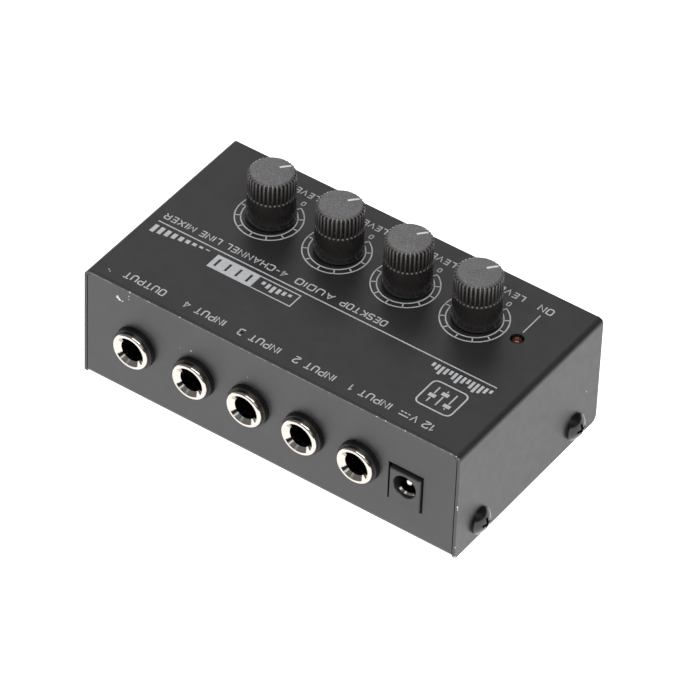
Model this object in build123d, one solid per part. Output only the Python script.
from build123d import *

import math
import os

# Four-channel line mixer in a bent sheet-metal box. Millimetres, +Z up.
# X runs along the length. The user sits at -Y and the socket panel faces +Y.
# The origin is the centre of the footprint, on the surface that the feet stand on.

# ---- Driving dimensions ----------------------------------------------------------------------
CASE_W = 113.4            # over the cover's two sides
CASE_D = 62.8             # front panel to socket panel
CASE_H = 34.0             # floor to top, without the feet
SHEET = 0.8               # sheet-metal thickness
SEAM = 0.25               # gap between the cover's sides and the chassis
FOOT_H = 1.2
SOCKET_PROUD = 2.85       # how far the socket ferrules stand out of the rear panel
KNOB_PITCH = 20.85
SOCKET_PITCH = 16.68

# ---- Levels and planes worked out from them ----------------------------------------------------
MID_Y = -SOCKET_PROUD / 2                 # middle of the case, so that the footprint is centred
REAR_Y = MID_Y + CASE_D / 2               # outer face of the socket panel
FRONT_Y = MID_Y - CASE_D / 2
REAR_INNER_Y = REAR_Y - SHEET
FLOOR_Z = FOOT_H                          # underside of the chassis floor
FLOOR_TOP_Z = FLOOR_Z + SHEET
TOP_Z = FOOT_H + CASE_H                   # upper face of the cover
TOP_INNER_Z = TOP_Z - SHEET
CHASSIS_W = CASE_W - 2 * (SHEET + SEAM)
SMALL = 0.02                              # clearance of parts that are pushed together
PAST = 1.0                                # how far a cutter runs past the face that it cuts

# ---- Cover and chassis -------------------------------------------------------------------------
BEND_R = 1.6                              # outer radius of the cover's bends
CHASSIS_BEND_R = 1.5
FRONT_CORNER_R = 1.8                      # lower front corner of each side
REAR_CORNER_R = 0.5
TOP_SEAM = 0.2                            # between the panels' shoulders and the cover
NOTCH_INSET = 1.8                         # cover's top is notched for the panels, this far from its sides
NOTCH_GAP = 0.06                          # between the notch and the tongue that stands in it
TONGUE_DROP = 0.05                        # tongue's upper edge below the cover's upper face
LIP_H = 9.0                               # side lips of the chassis that take the cover screws
LIP_RELIEF = 2.0

# ---- Cover screws ------------------------------------------------------------------------------
SCREW_Y = (-20.9, 21.1)                   # from the middle of the case
SCREW_Z = FLOOR_Z + 5.6
SCREW_R = 2.0
SCREW_FIT = 0.2
SCREW_HEAD_R = 3.7
SCREW_HEAD_H = 2.5
SCREW_RIM_H = 0.8                         # straight edge of the head, below its dome
SCREW_LENGTH = 7.0
CROSS_WIDTH = 0.9
CROSS_SPAN = 3.6
CROSS_DEPTH = 1.5

# ---- Feet --------------------------------------------------------------------------------------
FOOT_R = 4.0
FOOT_TOP_R = 4.6
FOOT_X = 47.0
FOOT_Y = 22.0                             # from the middle of the case

# ---- Knobs and potentiometers --------------------------------------------------------------------
KNOBS = 4
KNOB_FIRST_X = -31.3
KNOB_Y = MID_Y - 12.65
KNOB_GAP = 0.8                            # between the cover and the knob
KNOB_BASE_R = 6.52
KNOB_LEDGE_R = 6.27
KNOB_LEDGE_H = 8.1                        # smooth skirt, up to where the flutes start
KNOB_TOP_R = 6.16
KNOB_H = 14.4                             # up to the rim of the cap
KNOB_ROUND = 1.0                          # rounding of the flutes' upper ends
KNOB_WALL = 1.1
KNOB_ROOF_H = 11.5                        # underside of the knob's roof
HUB_R = 4.3
HUB_LOW = 3.0                             # lower end of the hub, clear of the bushing
FLUTES = 34
FLUTE_R = 0.42                            # radius of each flute's groove
FLUTE_DEPTH = 0.34
CAP_R = 5.35
CAP_SEAT_H = 13.3                         # floor of the recess that holds the cap
CAP_DOME = 0.7
POINTER_IN = 2.0
POINTER_OUT = 5.15
POINTER_W = 0.6
POINTER_DEPTH = 0.45
POINTER_PROUD = 0.04
POINTER_AT = 240.0                        # degrees from +X at the lowest setting
SHAFT_R = 3.0
SHAFT_FIT = 0.05                          # running clearance in the bushing
SHAFT_SLOT = 1.0
SHAFT_SLOT_L = 6.0
SHAFT_TIP_GAP = 0.3                       # between the shaft's tip and the knob's roof
ROTOR_R = 3.8
ROTOR_H = 1.2
ROTOR_GAP = 0.35                          # round the rotor, inside the body
POT_FLOOR = 1.0                           # under the bearing of the shaft
SHAFT_START = 1.4                         # lower end of the shaft above the body's underside
POT_GAP = 0.8                             # between the body and the cover
TERMINAL_H = 3.0
POT_W = 9.8
POT_D = 11.0
POT_H = 6.4
BUSHING_R = 3.5
BUSHING_H = 5.0
POT_HOLE_R = 3.75

# ---- Sockets -------------------------------------------------------------------------------------
SOCKET_NAMES = ("input_1", "input_2", "input_3", "input_4")
FIRST_SOCKET_X = -27.73
OUTPUT_X = 40.6
SOCKET_Z = FLOOR_Z + 16.8
PLUG_R = 3.2                              # bore for a 6.35 mm plug
COLLAR_R = 5.85
COLLAR_PROUD = 1.55
COLLAR_EDGE = 0.25
FERRULE_FACE_R = 4.7
FERRULE_BACK_R = 5.25
MOUTH_R = 4.3                             # funnel at the ferrule's face
MOUTH_DEPTH = 1.05
SLEEVE_R = 4.1
SLEEVE_LENGTH = 11.0
SOCKET_BODY_W = 15.4
SOCKET_BODY_H = 15.0
SOCKET_BODY_L = 27.0
SOCKET_CAVITY_R = 3.6
SOCKET_END_WALL = 1.5
SOCKET_WINDOW_L = 9.0                     # slot over the cavity for the tip contact
SOCKET_WINDOW_GAP = 0.2
SOCKET_PIN_H = 1.5
SOCKET_PIN_X = 5.5                        # either side of each socket's axis
SOCKET_PIN_BACK = (6.0, 20.0)             # behind the panel
PANEL_HOLE_R = COLLAR_R + 0.1
CONTACT_T = 0.4
CONTACT_W = 3.0
CONTACT_LIFT = 1.2                        # flat runs above the cavity
CONTACT_DIP = (3.0, 5.0, 6.5, 8.0)        # where the dip starts, turns and ends, and the strip's end
CONTACT_START = 3.5                       # from the cavity's end wall
CONTACT_REACH = 1.0                       # how far the tip contact dips into the cavity
PIN = 0.64                                # square pins and leads

# ---- Power inlet ---------------------------------------------------------------------------------
INLET_X = -41.55
INLET_W = 9.1
INLET_H = 10.6
INLET_LENGTH = 13.5
INLET_PROUD = 0.8
INLET_AXIS_H = 6.3                         # mouth above the main board
INLET_MOUTH_R = 3.45
INLET_CAVITY_R = 3.3
INLET_CAVITY_L = 10.0
INLET_CHAMFER = 0.25
INLET_PIN_R = 1.05
INLET_PIN_ROUND = 0.6
INLET_TAIL_R = 0.8                        # narrower end of the pin, riveted in the back wall
INLET_PIN_BACK = 1.9                      # how far the pin's end sits behind the mouth
INLET_LEAF_BACK = 1.1
INLET_LEAF_T = 0.5
INLET_LEAF_ROUND = 0.45                   # inner edge at its front end
INLET_LEAF_ARC = 150.0
INLET_LEAF_MIDDLE = 250.0                 # degrees from +X, seen from behind the mouth
INLET_WINDOW = (10.4, 12.05)              # width and height of the cut-out in the panel
INLET_WINDOW_X = -41.35
INLET_WINDOW_UNDER = 0.5                  # how far the cut-out reaches below the block

# ---- Boards and what stands on them ----------------------------------------------------------------
BOARD_T = 1.6
MAIN_TOP_Z = FLOOR_Z + 9.95
CONTROL_TOP_Z = TOP_INNER_Z - POT_GAP - POT_H
MAIN_W = 105.0
CONTROL_W = 99.0
CONTROL_D = 24.0
MAIN_FRONT_GAP = 2.0
MAIN_REAR_GAP = 0.3
CONTROL_FRONT = 3.5                       # board in front of its screws
SPACER_R = 2.75
SPACER_SHANK_R = 2.0
PILLAR_R = 2.8                            # over the corners of the hexagon
BOARD_SCREW_R = 1.5
BOARD_SCREW_HEAD_R = 2.75
BOARD_SCREW_HEAD_H = 1.8
BOARD_SCREW_REACH = 4.0                   # thread below the board
PILLAR_THREAD = 6.0
FRONT_SUPPORT = (44.0, -21.0)             # X either side of the middle, and Y from it
REAR_SUPPORT = (49.0, -3.0)
LINK_PINS = 10
LINK_PITCH = 2.54
LINK_Y = MID_Y - 3.5
LINK_SOCKET_H = 8.5
LINK_STRIP_H = 2.5
LINK_D = 2.5
LINK_HOLE_FLOOR = 2.0
LINK_PIN_START = 3.0

# ---- Power lamp ------------------------------------------------------------------------------------
LAMP_X = -43.6
LAMP_Y = MID_Y - 12.4
LAMP_R = 1.55
LAMP_BASE_R = 1.9
LAMP_BASE_H = 1.0
LAMP_H = 5.3
LAMP_PROUD = 0.2
LAMP_HOLE_R = 1.85
LAMP_SPACER_R = 2.4
LEAD_GAP = 2.54


# ---- Small helpers ---------------------------------------------------------------------------------
def block(x0, x1, y0, y1, z0, z1):
    """Box between two opposite corners."""
    middle = Pos((x0 + x1) / 2, (y0 + y1) / 2, (z0 + z1) / 2)
    return middle * Box(x1 - x0, y1 - y0, z1 - z0)


def block_on(x, y, z, width, depth, height):
    """Box that stands on the level z, centred at x, y."""
    return block(x - width / 2, x + width / 2, y - depth / 2, y + depth / 2, z, z + height)


def upright(x, y, z, radius, height):
    """Cylinder that stands on the level z."""
    return Pos(x, y, z + height / 2) * Cylinder(radius, height)


def along_x(x0, x1, y, z, radius):
    return Pos((x0 + x1) / 2, y, z) * Rot(0, 90, 0) * Cylinder(radius, x1 - x0)


def along_y(x, y0, y1, z, radius):
    return Pos(x, (y0 + y1) / 2, z) * Rot(90, 0, 0) * Cylinder(radius, y1 - y0)


def turned(*outline):
    """Solid of revolution about Z from lines and arcs drawn as (radius, height)."""
    edges = [edge for line in outline for edge in (Plane.XZ * line).edges()]
    return revolve(make_face(edges), Axis.Z)


def group(solids):
    return Compound(children=list(solids))


def knob_x(index):
    return KNOB_FIRST_X + index * KNOB_PITCH


def socket_places():
    """Name and X of each socket, from the user's left."""
    places = [(name, FIRST_SOCKET_X + i * SOCKET_PITCH) for i, name in enumerate(SOCKET_NAMES)]
    return places + [("output", OUTPUT_X)]


# ---- Sheet metal -----------------------------------------------------------------------------------
def cover():
    """Top and both sides, bent from one sheet. Its top is notched for the panels."""
    outer = block(-CASE_W / 2, CASE_W / 2, FRONT_Y, REAR_Y, FLOOR_Z, TOP_Z)
    outer = fillet(outer.edges().filter_by(Axis.Y).group_by(Axis.Z)[-1], BEND_R)
    inner_w = CASE_W - 2 * SHEET
    inner = block(-inner_w / 2, inner_w / 2, FRONT_Y - PAST, REAR_Y + PAST, FLOOR_Z - PAST, TOP_INNER_Z)
    inner = fillet(inner.edges().filter_by(Axis.Y).group_by(Axis.Z)[-1], BEND_R - SHEET)
    sheet = outer - inner
    corners = sheet.edges().filter_by(Axis.X).group_by(Axis.Z)[0]
    sheet = fillet(corners.group_by(Axis.Y)[0], FRONT_CORNER_R)
    corners = sheet.edges().filter_by(Axis.X).group_by(Axis.Z)[0]
    sheet = fillet(corners.group_by(Axis.Y)[-1], REAR_CORNER_R)
    notch_x = CASE_W / 2 - NOTCH_INSET
    reach = SHEET + NOTCH_GAP
    for y0, y1 in ((FRONT_Y - PAST, FRONT_Y + reach), (REAR_Y - reach, REAR_Y + PAST)):
        sheet -= block(-notch_x, notch_x, y0, y1, TOP_INNER_Z - PAST, TOP_Z + PAST)
    for i in range(KNOBS):
        sheet -= upright(knob_x(i), KNOB_Y, TOP_INNER_Z - PAST, POT_HOLE_R, SHEET + 2 * PAST)
    sheet -= upright(LAMP_X, LAMP_Y, TOP_INNER_Z - PAST, LAMP_HOLE_R, SHEET + 2 * PAST)
    for y in SCREW_Y:
        reach = CASE_W / 2 + PAST
        sheet -= along_x(-reach, reach, MID_Y + y, SCREW_Z, SCREW_R + SCREW_FIT)
    return sheet


def folded_sheet():
    """Front, floor and socket panel, bent from one sheet. A tongue on each panel closes the cover's notch."""
    half = CHASSIS_W / 2
    top = TOP_INNER_Z - TOP_SEAM
    outer = block(-half, half, FRONT_Y, REAR_Y, FLOOR_Z, top)
    outer = fillet(outer.edges().filter_by(Axis.X).group_by(Axis.Z)[0], CHASSIS_BEND_R)
    inner = block(-half - PAST, half + PAST, FRONT_Y + SHEET, REAR_INNER_Y, FLOOR_TOP_Z, TOP_Z)
    inner = fillet(inner.edges().filter_by(Axis.X).group_by(Axis.Z)[0], CHASSIS_BEND_R - SHEET)
    sheet = outer - inner
    tongue_x = CASE_W / 2 - NOTCH_INSET - NOTCH_GAP
    for y0, y1 in ((FRONT_Y, FRONT_Y + SHEET), (REAR_INNER_Y, REAR_Y)):
        sheet += block(-tongue_x, tongue_x, y0, y1, top, TOP_Z - TONGUE_DROP)
    return sheet


def chassis():
    """Folded sheet with its holes, and a lip along each side of the floor."""
    half = CHASSIS_W / 2
    sheet = folded_sheet()
    lip_y0 = FRONT_Y + SHEET + LIP_RELIEF
    lip_y1 = REAR_INNER_Y - LIP_RELIEF
    for side in (-1, 1):
        x0, x1 = sorted((side * half, side * (half - SHEET)))
        sheet += block(x0, x1, lip_y0, lip_y1, FLOOR_Z, FLOOR_Z + LIP_H)
    for y in SCREW_Y:
        sheet -= along_x(-half - PAST, half + PAST, MID_Y + y, SCREW_Z, SCREW_R + SMALL)
    for _, x in socket_places():
        sheet -= along_y(x, REAR_INNER_Y - PAST, REAR_Y + PAST, SOCKET_Z, PANEL_HOLE_R)
    window_w, window_h = INLET_WINDOW
    window_z = MAIN_TOP_Z - INLET_WINDOW_UNDER
    sheet -= block(INLET_WINDOW_X - window_w / 2, INLET_WINDOW_X + window_w / 2, REAR_INNER_Y - PAST,
                   REAR_Y + PAST, window_z, window_z + window_h)
    for x, y in supports():
        sheet -= upright(x, y, FLOOR_Z - PAST, SPACER_SHANK_R, SHEET + 2 * PAST)
    return sheet


def cross_recess():
    """Cross-shaped cutter that reaches down from z = 0."""
    arm = block_on(0, 0, -CROSS_DEPTH, CROSS_SPAN, CROSS_WIDTH, CROSS_DEPTH + PAST)
    return arm + Rot(0, 0, 90) * arm


def cover_screw():
    """Pan-head screw with its head above z = 0 and its shank below."""
    dome = SCREW_HEAD_H - SCREW_RIM_H
    ball_r = (SCREW_HEAD_R ** 2 + dome ** 2) / (2 * dome)
    head = upright(0, 0, 0, SCREW_HEAD_R, SCREW_HEAD_H)
    head &= Pos(0, 0, SCREW_HEAD_H - ball_r) * Sphere(ball_r)
    head -= Pos(0, 0, SCREW_HEAD_H) * cross_recess()
    return head + upright(0, 0, -SCREW_LENGTH, SCREW_R, SCREW_LENGTH)


def cover_screws():
    screw = cover_screw()
    solids = []
    for side in (-1, 1):
        for y in SCREW_Y:
            place = Pos(side * CASE_W / 2, MID_Y + y, SCREW_Z) * Rot(0, side * 90, 0)
            solids.append(place * screw)
    return group(solids)


def rubber_feet():
    foot = turned(Polyline((0, 0), (FOOT_R, 0), (FOOT_TOP_R, FOOT_H), (0, FOOT_H), close=True))
    return group(Pos(x, MID_Y + y, 0) * foot for x in (-FOOT_X, FOOT_X) for y in (-FOOT_Y, FOOT_Y))


# ---- Knobs -----------------------------------------------------------------------------------------
def dome_outline(base_h, radius, raised):
    """Half outline of a disc with a spherical top, from base_h to the dome over the cap's rim."""
    rim = KNOB_H + raised
    ball_r = (radius ** 2 + CAP_DOME ** 2) / (2 * CAP_DOME)
    half_r = radius / 2
    half_h = rim + CAP_DOME - ball_r + math.sqrt(ball_r ** 2 - half_r ** 2)
    sides = Polyline((0, rim + CAP_DOME), (0, base_h), (radius, base_h), (radius, rim))
    return sides, ThreePointArc((radius, rim), (half_r, half_h), (0, rim + CAP_DOME))


def knob():
    """Hollow knob with a smooth skirt, flutes above it and a recess for the cap."""
    seat_r = CAP_R + SMALL
    skirt_r = KNOB_BASE_R - KNOB_WALL
    bore_r = SHAFT_R + SMALL
    round_start = (KNOB_TOP_R, KNOB_H - KNOB_ROUND)
    round_end = (seat_r, KNOB_H)
    round_middle = (KNOB_TOP_R - 0.23, KNOB_H - KNOB_ROUND * 0.3)
    edge = ThreePointArc(round_start, round_middle, round_end)
    rest = Polyline(round_end, (seat_r, CAP_SEAT_H), (0, CAP_SEAT_H), (0, KNOB_ROOF_H),
                    (bore_r, KNOB_ROOF_H), (bore_r, HUB_LOW), (HUB_R, HUB_LOW), (HUB_R, KNOB_ROOF_H),
                    (skirt_r, KNOB_ROOF_H), (skirt_r, 0), (KNOB_BASE_R, 0),
                    (KNOB_LEDGE_R, KNOB_LEDGE_H), round_start)
    body = turned(edge, rest)
    groove_at = KNOB_TOP_R - FLUTE_DEPTH + FLUTE_R
    groove = upright(groove_at, 0, KNOB_LEDGE_H, FLUTE_R, KNOB_H)
    return body - [Rot(0, 0, 360 * i / FLUTES) * groove for i in range(FLUTES)]


def pointer_bar():
    """Bar that the pointer and its slot in the cap are cut with."""
    length = POINTER_OUT - POINTER_IN
    bar = block_on(POINTER_IN + length / 2, 0, KNOB_H - POINTER_DEPTH, length, POINTER_W, CAP_DOME + PAST)
    return Rot(0, 0, POINTER_AT) * bar


def knob_cap():
    return turned(*dome_outline(CAP_SEAT_H, CAP_R, 0)) - pointer_bar()


def knob_pointer():
    return turned(*dome_outline(CAP_SEAT_H, CAP_R, POINTER_PROUD)) & pointer_bar()


# ---- Potentiometers ----------------------------------------------------------------------------------
def pot_body():
    """Square body with a round bushing. It stands on z = 0."""
    body = block_on(0, 0, 0, POT_W, POT_D, POT_H) + upright(0, 0, POT_H, BUSHING_R, BUSHING_H)
    body -= upright(0, 0, POT_FLOOR, SHAFT_R + SHAFT_FIT, POT_H + BUSHING_H)
    return body - upright(0, 0, SHAFT_START, ROTOR_R + ROTOR_GAP, ROTOR_H + 2 * ROTOR_GAP)


def pot_shaft():
    """Turning shaft with its rotor, from inside the body up into the knob's hub."""
    tip = TOP_Z + KNOB_GAP + KNOB_ROOF_H - SHAFT_TIP_GAP - CONTROL_TOP_Z
    shaft = upright(0, 0, SHAFT_START, SHAFT_R, tip - SHAFT_START)
    slot = block_on(0, 0, tip - SHAFT_SLOT_L, 3 * SHAFT_R, SHAFT_SLOT, SHAFT_SLOT_L + PAST)
    rotor = upright(0, 0, SHAFT_START + ROTOR_GAP, ROTOR_R, ROTOR_H)
    return (shaft - Rot(0, 0, POINTER_AT) * slot) + rotor


def pot_terminals():
    """Three terminals in front of each potentiometer."""
    solids = []
    for i in range(KNOBS):
        for step in (-1, 0, 1):
            x = knob_x(i) + step * LINK_PITCH
            solids.append(block_on(x, KNOB_Y - POT_D / 2 - PIN / 2, CONTROL_TOP_Z, PIN, PIN,
                                   TERMINAL_H))
    return group(solids)


# ---- Sockets -------------------------------------------------------------------------------------------
def socket_housing():
    """Plastic housing with its axis on Y, its collar's base plane at y = 0 and its body at y < 0."""
    half_w = SOCKET_BODY_W / 2
    low = MAIN_TOP_Z - SOCKET_Z
    body = block(-half_w, half_w, -SHEET - SOCKET_BODY_L, -SHEET, low, low + SOCKET_BODY_H)
    collar = along_y(0, -SHEET, COLLAR_PROUD, 0, COLLAR_R)
    collar = fillet(collar.edges().sort_by(Axis.Y)[-1], COLLAR_EDGE)
    cavity_end = -SHEET - SOCKET_BODY_L + SOCKET_END_WALL
    housing = body + collar - along_y(0, cavity_end, COLLAR_PROUD + PAST, 0, SOCKET_CAVITY_R)
    housing -= along_y(0, SOCKET_PROUD - SLEEVE_LENGTH, COLLAR_PROUD + PAST, 0, SLEEVE_R + SMALL)
    window_y = cavity_end + CONTACT_START - SOCKET_WINDOW_GAP
    half_window = CONTACT_W / 2 + SOCKET_WINDOW_GAP
    return housing - block(-half_window, half_window, window_y, window_y + SOCKET_WINDOW_L,
                           0, SOCKET_BODY_H)


def socket_ferrule():
    """Nickel sleeve with a rounded nose and a funnel mouth, its axis on Y."""
    nose = SOCKET_PROUD - COLLAR_PROUD
    sleeve_end = -(SLEEVE_LENGTH - nose)
    straight = Polyline((MOUTH_R, nose), (PLUG_R, nose - MOUTH_DEPTH), (PLUG_R, sleeve_end),
                        (SLEEVE_R, sleeve_end), (SLEEVE_R, 0), (FERRULE_BACK_R, 0),
                        (FERRULE_BACK_R, nose / 3))
    shoulder_middle = (FERRULE_BACK_R - 0.13, nose * 0.82)
    shoulder = ThreePointArc((FERRULE_BACK_R, nose / 3), shoulder_middle, (FERRULE_FACE_R, nose))
    face = Line((FERRULE_FACE_R, nose), (MOUTH_R, nose))
    return Pos(0, COLLAR_PROUD, 0) * Rot(-90, 0, 0) * turned(straight, shoulder, face)


def tip_contact():
    """Bent strip over the cavity: a flat run, a dip towards the plug and another flat run."""
    start = -SHEET - SOCKET_BODY_L + SOCKET_END_WALL + CONTACT_START
    flat_z = SOCKET_CAVITY_R + CONTACT_LIFT
    dip_z = SOCKET_CAVITY_R - CONTACT_REACH
    dip_start, dip_turn, dip_end, end = (start + step for step in CONTACT_DIP)
    under = [(start, flat_z), (dip_start, flat_z), (dip_turn, dip_z), (dip_end, flat_z), (end, flat_z)]
    slant = CONTACT_T * 0.75
    over = [(end, flat_z + CONTACT_T), (dip_end - slant, flat_z + CONTACT_T),
            (dip_turn, dip_z + 2 * CONTACT_T), (dip_start + slant, flat_z + CONTACT_T),
            (start, flat_z + CONTACT_T)]
    side = make_face(Polyline(*under, *over, close=True))
    return extrude(Plane.YZ * side, CONTACT_W / 2, both=True)


def at_sockets(solid):
    return [Pos(x, REAR_Y, SOCKET_Z) * solid for _, x in socket_places()]


def socket_pins():
    """Solder pins between each housing and the underside of the main board."""
    solids = []
    low = MAIN_TOP_Z - BOARD_T - SOCKET_PIN_H
    for _, x in socket_places():
        for side in (-1, 1):
            for back in SOCKET_PIN_BACK:
                solids.append(block_on(x + side * SOCKET_PIN_X, REAR_INNER_Y - back, low, PIN, PIN,
                                       SOCKET_PIN_H))
    return group(solids)


# ---- Power inlet ---------------------------------------------------------------------------------------
def inlet_housing():
    """Plastic block with a round mouth, its face just proud of the panel."""
    face_y = REAR_Y + INLET_PROUD
    axis_z = MAIN_TOP_Z + INLET_AXIS_H
    body = block(INLET_X - INLET_W / 2, INLET_X + INLET_W / 2, face_y - INLET_LENGTH, face_y,
                 MAIN_TOP_Z, MAIN_TOP_Z + INLET_H)
    body = chamfer(body.edges().group_by(Axis.Y)[-1], INLET_CHAMFER)
    body -= along_y(INLET_X, face_y - INLET_CAVITY_L, face_y + PAST, axis_z, INLET_CAVITY_R)
    flare = Cone(INLET_CAVITY_R, INLET_MOUTH_R, INLET_CHAMFER)
    body -= Pos(INLET_X, face_y - INLET_CHAMFER / 2, axis_z) * Rot(-90, 0, 0) * flare
    return body - along_y(INLET_X, face_y - INLET_LENGTH - PAST, face_y, axis_z, INLET_TAIL_R)


def inlet_pin():
    """Centre pin with a rounded end and a narrower tail, held in the block's back wall."""
    face_y = REAR_Y + INLET_PROUD
    axis_z = MAIN_TOP_Z + INLET_AXIS_H
    back_wall_y = face_y - INLET_CAVITY_L
    pin = along_y(INLET_X, back_wall_y, face_y - INLET_PIN_BACK, axis_z, INLET_PIN_R)
    pin = fillet(pin.edges().sort_by(Axis.Y)[-1], INLET_PIN_ROUND)
    return pin + along_y(INLET_X, face_y - INLET_LENGTH, back_wall_y, axis_z, INLET_TAIL_R)


def inlet_leaf():
    """Curved side contact that lines the lower part of the cavity, rounded at its front end."""
    outer_r = INLET_CAVITY_R - SMALL
    inner_r = outer_r - INLET_LEAF_T
    length = INLET_CAVITY_L - INLET_LEAF_BACK
    bore = Cylinder(inner_r, length)
    funnel = Pos(0, 0, -length / 2 + INLET_LEAF_ROUND / 2) * Cone(
        inner_r + INLET_LEAF_ROUND, inner_r, INLET_LEAF_ROUND)
    ring = Cylinder(outer_r, length) - bore - funnel
    chord = outer_r * math.cos(math.radians(INLET_LEAF_ARC / 2))
    leaf = ring & block_on(chord + outer_r, 0, -length / 2, 2 * outer_r, 3 * outer_r, length)
    face_y = REAR_Y + INLET_PROUD
    place = Pos(INLET_X, face_y - INLET_LEAF_BACK - length / 2, MAIN_TOP_Z + INLET_AXIS_H)
    return place * Rot(90, 0, 0) * Rot(0, 0, INLET_LEAF_MIDDLE) * leaf


# ---- Boards --------------------------------------------------------------------------------------------
def supports():
    """X, Y of the four spacers on the floor: the front pair first."""
    places = []
    for x, y in (FRONT_SUPPORT, REAR_SUPPORT):
        places += [(-x, MID_Y + y), (x, MID_Y + y)]
    return places


def main_board():
    board = block(-MAIN_W / 2, MAIN_W / 2, FRONT_Y + SHEET + MAIN_FRONT_GAP,
                  REAR_INNER_Y - MAIN_REAR_GAP, MAIN_TOP_Z - BOARD_T, MAIN_TOP_Z)
    return board - [upright(x, y, MAIN_TOP_Z - BOARD_T, BOARD_SCREW_R + SMALL, BOARD_T)
                    for x, y in supports()]


def control_board():
    y = MID_Y + FRONT_SUPPORT[1] + CONTROL_D / 2 - CONTROL_FRONT
    board = block_on(0, y, CONTROL_TOP_Z - BOARD_T, CONTROL_W, CONTROL_D, BOARD_T)
    return board - [upright(x, y, CONTROL_TOP_Z - BOARD_T, BOARD_SCREW_R + SMALL, BOARD_T)
                    for x, y in supports()[:2]]


def board_spacers():
    """Round spacers clinched into the floor."""
    height = MAIN_TOP_Z - BOARD_T - FLOOR_TOP_Z
    solids = []
    for x, y in supports():
        spacer = upright(x, y, FLOOR_TOP_Z, SPACER_R, height)
        spacer += upright(x, y, FLOOR_Z, SPACER_SHANK_R, SHEET)
        solids.append(spacer - upright(x, y, FLOOR_TOP_Z, BOARD_SCREW_R + SMALL, height + PAST))
    return group(solids)


def board_pillars():
    """Hexagonal pillars on the front spacers, each with a stud through the main board."""
    low = MAIN_TOP_Z
    high = CONTROL_TOP_Z - BOARD_T
    solids = []
    for x, y in supports()[:2]:
        pillar = Pos(x, y, low) * extrude(RegularPolygon(PILLAR_R, 6), high - low)
        stud = BOARD_T + BOARD_SCREW_REACH
        pillar += upright(x, y, low - stud, BOARD_SCREW_R, stud)
        thread = upright(x, y, high - PILLAR_THREAD, BOARD_SCREW_R + SMALL, PILLAR_THREAD + PAST)
        solids.append(pillar - thread)
    return group(solids)


def board_screw():
    """Pan-head screw for a board, its head above z = 0."""
    head = upright(0, 0, 0, BOARD_SCREW_HEAD_R, BOARD_SCREW_HEAD_H)
    head = fillet(head.edges().sort_by(Axis.Z)[-1], BOARD_SCREW_HEAD_H / 2)
    shank = BOARD_T + BOARD_SCREW_REACH
    return head + upright(0, 0, -shank, BOARD_SCREW_R, shank)


def main_board_screws():
    return group(Pos(x, y, MAIN_TOP_Z) * board_screw() for x, y in supports()[2:])


def control_board_screws():
    return group(Pos(x, y, CONTROL_TOP_Z) * board_screw() for x, y in supports()[:2])


def link_positions():
    middle = (LINK_PINS - 1) / 2
    return [(i - middle) * LINK_PITCH for i in range(LINK_PINS)]


def link_holes(low, high):
    return [block_on(x, LINK_Y, low, PIN, PIN, high - low) for x in link_positions()]


def link_socket():
    """Socket strip on the main board."""
    length = LINK_PINS * LINK_PITCH
    strip = block_on(0, LINK_Y, MAIN_TOP_Z, length, LINK_D, LINK_SOCKET_H)
    return strip - link_holes(MAIN_TOP_Z + LINK_HOLE_FLOOR, MAIN_TOP_Z + LINK_SOCKET_H + PAST)


def link_strip():
    """Pin strip under the control board."""
    length = LINK_PINS * LINK_PITCH
    high = CONTROL_TOP_Z - BOARD_T
    strip = block_on(0, LINK_Y, high - LINK_STRIP_H, length, LINK_D, LINK_STRIP_H)
    return strip - link_holes(high - LINK_STRIP_H - PAST, high + PAST)


def link_pins():
    return group(link_holes(MAIN_TOP_Z + LINK_PIN_START, CONTROL_TOP_Z - BOARD_T))


# ---- Components ------------------------------------------------------------------------------------------
CHIP_PLACES = ((-30.0, -14.0), (-12.0, -14.0), (6.0, -14.0))       # X, Y from the middle
CHIP_SIZE = (9.5, 6.4, 3.3)
CHIP_LIFT = 0.5
CHIP_EDGE = 0.4
CHIP_LEGS = 4                                                      # on each side
CHIP_LEG = (0.5, 2.0)                                              # square section and height
LARGE_CAPACITORS = ((30.0, -14.0), (-41.55, 11.0))
LARGE_CAPACITOR = (4.0, 11.0)                                    # radius and height
SMALL_CAPACITORS = tuple((-24.0 + 8.0 * i, -23.5) for i in range(7))
SMALL_CAPACITOR = (2.5, 7.0)
CAPACITOR_GROOVE = (1.2, 0.6, 0.3)                                 # level, height and depth
CAPACITOR_EDGE = 0.4
REGULATOR = (-41.55, 4.0)
REGULATOR_SIZE = (10.0, 4.4, 9.0)
REGULATOR_TAB = (10.0, 1.2, 13.5)
REGULATOR_LEG = (0.8, 0.5, 3.0)
REGULATOR_HOLE = (1.7, 11.5)                                       # radius, and level above the legs
RESISTORS = (tuple((-38.0 + 6.5 * i, -8.5) for i in range(3))
             + tuple((-2.0 + 5.0 * i, -8.5) for i in range(5)))
RESISTOR_R = 1.1
RESISTOR_LENGTH = 3.6


def amplifier_chips():
    """Amplifier chips, each in one solid with its legs."""
    width, depth, height = CHIP_SIZE
    leg_w, leg_h = CHIP_LEG
    solids = []
    for x, y in CHIP_PLACES:
        body = block_on(x, MID_Y + y, MAIN_TOP_Z + CHIP_LIFT, width, depth, height)
        body = chamfer(body.edges().group_by(Axis.Z)[-1], CHIP_EDGE)
        for step in range(CHIP_LEGS):
            leg_x = x + (step - (CHIP_LEGS - 1) / 2) * LINK_PITCH
            for side in (-1, 1):
                leg_y = MID_Y + y + side * (depth + leg_w) / 2
                body += block_on(leg_x, leg_y, MAIN_TOP_Z, leg_w, leg_w, leg_h)
        solids.append(body)
    return group(solids)


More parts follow.
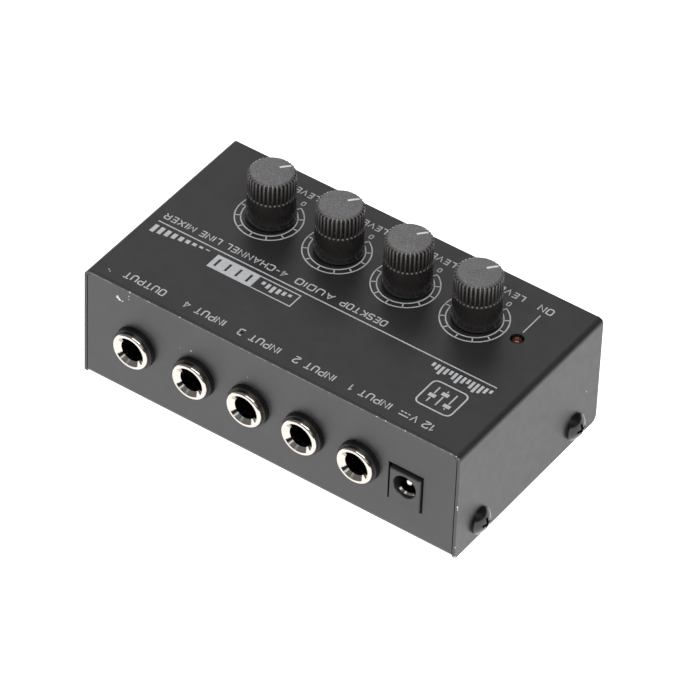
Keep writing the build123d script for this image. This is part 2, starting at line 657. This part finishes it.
def capacitors():
    """Electrolytic capacitors, each with the groove near its foot."""
    solids = []
    sizes = [(place, LARGE_CAPACITOR) for place in LARGE_CAPACITORS]
    sizes += [(place, SMALL_CAPACITOR) for place in SMALL_CAPACITORS]
    level, groove_h, groove_depth = CAPACITOR_GROOVE
    for (x, y), (radius, height) in sizes:
        can = upright(x, MID_Y + y, MAIN_TOP_Z, radius, height)
        ring_z = MAIN_TOP_Z + level
        waist = upright(x, MID_Y + y, ring_z, radius + PAST, groove_h)
        waist -= upright(x, MID_Y + y, ring_z - PAST, radius - groove_depth, groove_h + 2 * PAST)
        solids.append(fillet((can - waist).edges().sort_by(Axis.Z)[-1], CAPACITOR_EDGE))
    return group(solids)


def voltage_regulator():
    """Upright regulator package with its metal tab and legs."""
    x, y = REGULATOR
    width, depth, height = REGULATOR_SIZE
    leg_w, leg_t, leg_h = REGULATOR_LEG
    hole_r, hole_z = REGULATOR_HOLE
    body = block_on(x, MID_Y + y, MAIN_TOP_Z + leg_h, width, depth, height)
    tab_w, tab_t, tab_h = REGULATOR_TAB
    body += block_on(x, MID_Y + y + depth / 2 - tab_t / 2, MAIN_TOP_Z + leg_h, tab_w, tab_t, tab_h)
    for step in (-1, 0, 1):
        body += block_on(x + step * LINK_PITCH, MID_Y + y, MAIN_TOP_Z, leg_w, leg_t, leg_h)
    return body - along_y(x, MID_Y + y, MID_Y + y + depth, MAIN_TOP_Z + leg_h + hole_z, hole_r)


def resistors():
    solids = []
    for x, y in RESISTORS:
        z = MAIN_TOP_Z + RESISTOR_R
        middle = MID_Y + y
        solids.append(along_y(x, middle - RESISTOR_LENGTH / 2, middle + RESISTOR_LENGTH / 2, z, RESISTOR_R))
    return group(solids)


# ---- Power lamp --------------------------------------------------------------------------------------------
def lamp_base_z():
    return TOP_Z + LAMP_PROUD - LAMP_H


def power_lamp():
    """Round-nosed lamp with a wider rim at its base."""
    base = lamp_base_z()
    barrel = upright(LAMP_X, LAMP_Y, base, LAMP_R, LAMP_H - LAMP_R)
    rim = upright(LAMP_X, LAMP_Y, base, LAMP_BASE_R, LAMP_BASE_H)
    return barrel + rim + Pos(LAMP_X, LAMP_Y, base + LAMP_H - LAMP_R) * Sphere(LAMP_R)


def lead_places():
    return [(LAMP_X + side * LEAD_GAP / 2, LAMP_Y) for side in (-1, 1)]


def lamp_spacer():
    height = lamp_base_z() - CONTROL_TOP_Z
    tube = upright(LAMP_X, LAMP_Y, CONTROL_TOP_Z, LAMP_SPACER_R, height)
    return tube - [block_on(x, y, CONTROL_TOP_Z, PIN, PIN, height) for x, y in lead_places()]


def lamp_leads():
    height = lamp_base_z() - CONTROL_TOP_Z
    return group(block_on(x, y, CONTROL_TOP_Z, PIN, PIN, height) for x, y in lead_places())


# ---- All nodes -----------------------------------------------------------------------------------------------
def nodes():
    parts = {
        "cover": cover(),
        "chassis": chassis(),
        "cover_screws": cover_screws(),
        "rubber_feet": rubber_feet(),
        "main_board": main_board(),
        "control_board": control_board(),
        "board_spacers": board_spacers(),
        "board_pillars": board_pillars(),
        "main_board_screws": main_board_screws(),
        "control_board_screws": control_board_screws(),
        "link_socket": link_socket(),
        "link_strip": link_strip(),
        "link_pins": link_pins(),
        "amplifier_chips": amplifier_chips(),
        "capacitors": capacitors(),
        "voltage_regulator": voltage_regulator(),
        "resistors": resistors(),
        "power_inlet_housing": inlet_housing(),
        "power_inlet_pin": inlet_pin(),
        "power_inlet_contact": inlet_leaf(),
        "power_lamp": power_lamp(),
        "lamp_spacer": lamp_spacer(),
        "lamp_leads": lamp_leads(),
        "pot_terminals": pot_terminals(),
        "tip_contacts": group(at_sockets(tip_contact())),
        "socket_pins": socket_pins(),
    }
    housing = socket_housing()
    ferrule = socket_ferrule()
    for name, x in socket_places():
        place = Pos(x, REAR_Y, SOCKET_Z)
        parts[f"{name}_socket_housing"] = place * housing
        parts[f"{name}_socket_ferrule"] = place * ferrule
    shapes = {"body": knob(), "cap": knob_cap(), "pointer": knob_pointer()}
    for i in range(KNOBS):
        number = i + 1
        pot_place = Pos(knob_x(i), KNOB_Y, CONTROL_TOP_Z)
        knob_place = Pos(knob_x(i), KNOB_Y, TOP_Z + KNOB_GAP)
        parts[f"pot_{number}_body"] = pot_place * pot_body()
        parts[f"pot_{number}_shaft"] = pot_place * pot_shaft()
        for piece, shape in shapes.items():
            parts[f"knob_{number}_{piece}"] = knob_place * shape
    return parts


os.makedirs("parts", exist_ok=True)
for node, shape in nodes().items():
    export_step(shape, f"parts/{node}.step")
